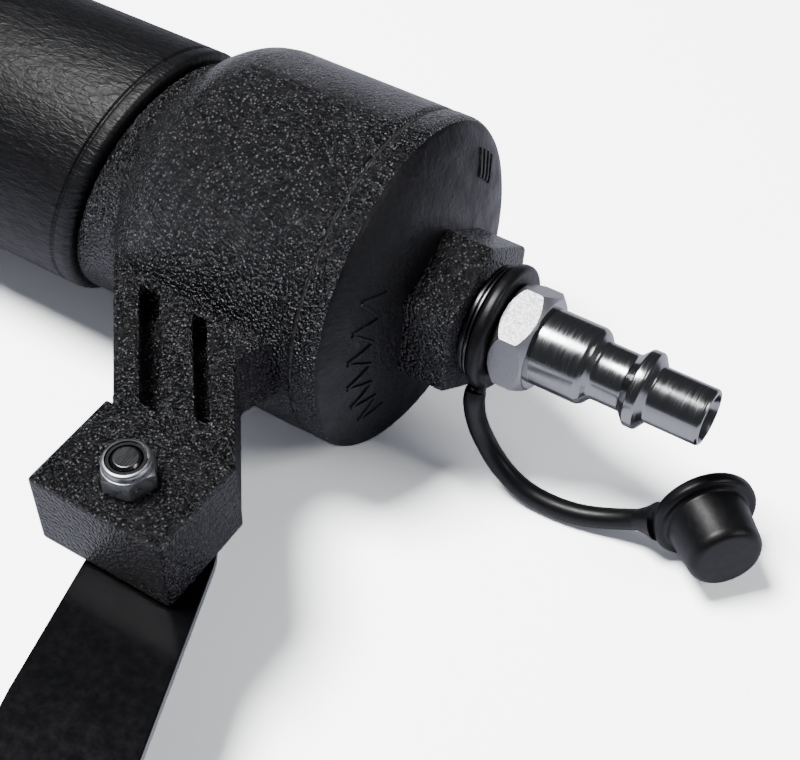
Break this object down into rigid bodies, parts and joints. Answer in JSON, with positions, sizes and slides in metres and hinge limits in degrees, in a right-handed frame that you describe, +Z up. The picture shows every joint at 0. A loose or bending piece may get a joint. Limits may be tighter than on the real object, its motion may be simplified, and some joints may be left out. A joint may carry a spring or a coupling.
{
  "type": "pneumatic rivet gun",
  "caption": "Pistol-grip air rivet hammer with a rubber grip sleeve, rear air plug and tethered dust cap, and a swing bar bolted to the grip's cast arm.",
  "frame": {"origin": "middle of the lowest plane of the object's box, with the tether left out", "axes": "+X along the grip from the air inlet to the head, +Y from the grip towards the cast arm, +Z up, square to the side that the tool lies on"},
  "size_m": [0.2756, 0.2242, 0.063],
  "materials": {
    "cast_black": "coarse wrinkle-textured black coat",
    "smooth_black": "smooth black oxide",
    "rubber_black": "satin, leather-grained on the grip",
    "bright_steel": "bright plated, turned",
    "dark_steel": "dark turned steel",
    "zinc_plate": "bright zinc plate",
    "brass": "turned brass",
    "nylon": "matte nylon"
  },
  "bodies": {
    "body": {"back_plug": "dark_steel", "valve_case": "dark_steel", "hammer_barrel": "dark_steel", "exhaust_clip": "bright_steel", "retaining_spring": "dark_steel", "handle_casting": "cast_black", "grip_sleeve": "rubber_black", "end_cap": "cast_black", "cap_seal": "rubber_black", "inlet_screen": "brass", "inlet_bushing": "dark_steel", "air_plug": "bright_steel", "bar_bolt": "dark_steel", "bar_washer": "zinc_plate", "bar_nut": "zinc_plate", "bar_nut_insert": "nylon", "trigger_pin": "bright_steel", "throttle_bushing": "brass", "throttle_spring": "bright_steel", "throttle_plug": "dark_steel"},
    "swing_bar": {"swing_bar": "smooth_black"},
    "trigger": {"trigger": "smooth_black"},
    "throttle": {"throttle_stem": "bright_steel"},
    "piston": {"hammer_piston": "bright_steel"},
    "valve": {"valve_plate": "bright_steel"},
    "rivet_set": {"rivet_set": "bright_steel"},
    "exhaust_ring": {"exhaust_ring": "smooth_black"},
    "regulator": {"regulator_screw": "brass"},
    "dust_tether": {"tether_ring": "rubber_black", "dust_strap": "rubber_black", "dust_cap": "rubber_black"}
  },
  "joints": [
    {"name": "bar_swing", "type": "hinge", "parent": "body", "child": "swing_bar", "pos_m": [-0.06468, 0.01293, 0.0241], "axis": [0, 0, 1], "range_deg": [-95, 35]},
    {"name": "trigger_pull", "type": "hinge", "parent": "body", "child": "trigger", "pos_m": [0.06102, -0.01907, 0.0315], "axis": [0, 0, 1], "range_deg": [0, 9], "stiffness_Nm_per_rad": 1.2, "springref_deg": -5.73},
    {"name": "throttle_travel", "type": "slide", "parent": "body", "child": "throttle", "axis": [0, -1, 0], "range_m": [0, 0.0025], "deforming": ["throttle_spring"]},
    {"name": "piston_stroke", "type": "slide", "parent": "body", "child": "piston", "axis": [0.1736, 0.9848, 0], "range_m": [0, 0.07]},
    {"name": "valve_shuttle", "type": "slide", "parent": "body", "child": "valve", "axis": [0.1736, 0.9848, 0], "range_m": [0, 0.0045]},
    {"name": "set_travel", "type": "slide", "parent": "body", "child": "rivet_set", "axis": [0.1736, 0.9848, 0], "range_m": [0, 0.007], "stiffness_N_per_m": 900, "springref_m": -0.004, "deforming": ["retaining_spring"]},
    {"name": "exhaust_turn", "type": "hinge", "parent": "body", "child": "exhaust_ring", "pos_m": [0.10324, 0.01441, 0.0315], "axis": [0.1736, 0.9848, 0], "continuous": true},
    {"name": "regulator_turn", "type": "hinge", "parent": "body", "child": "regulator", "pos_m": [0.05402, -0.05207, 0.0555], "axis": [0, 0, 1], "range_deg": [-180, 180]},
    {"name": "tether_turn", "type": "hinge", "parent": "body", "child": "dust_tether", "pos_m": [-0.09218, -0.05207, 0.0315], "axis": [1, 0, 0], "range_deg": [-170, 170]}
  ],
  "couplings": [
    {"joint": "throttle_travel", "follows": "trigger_pull", "m_per_rad": 0.014}
  ]
}
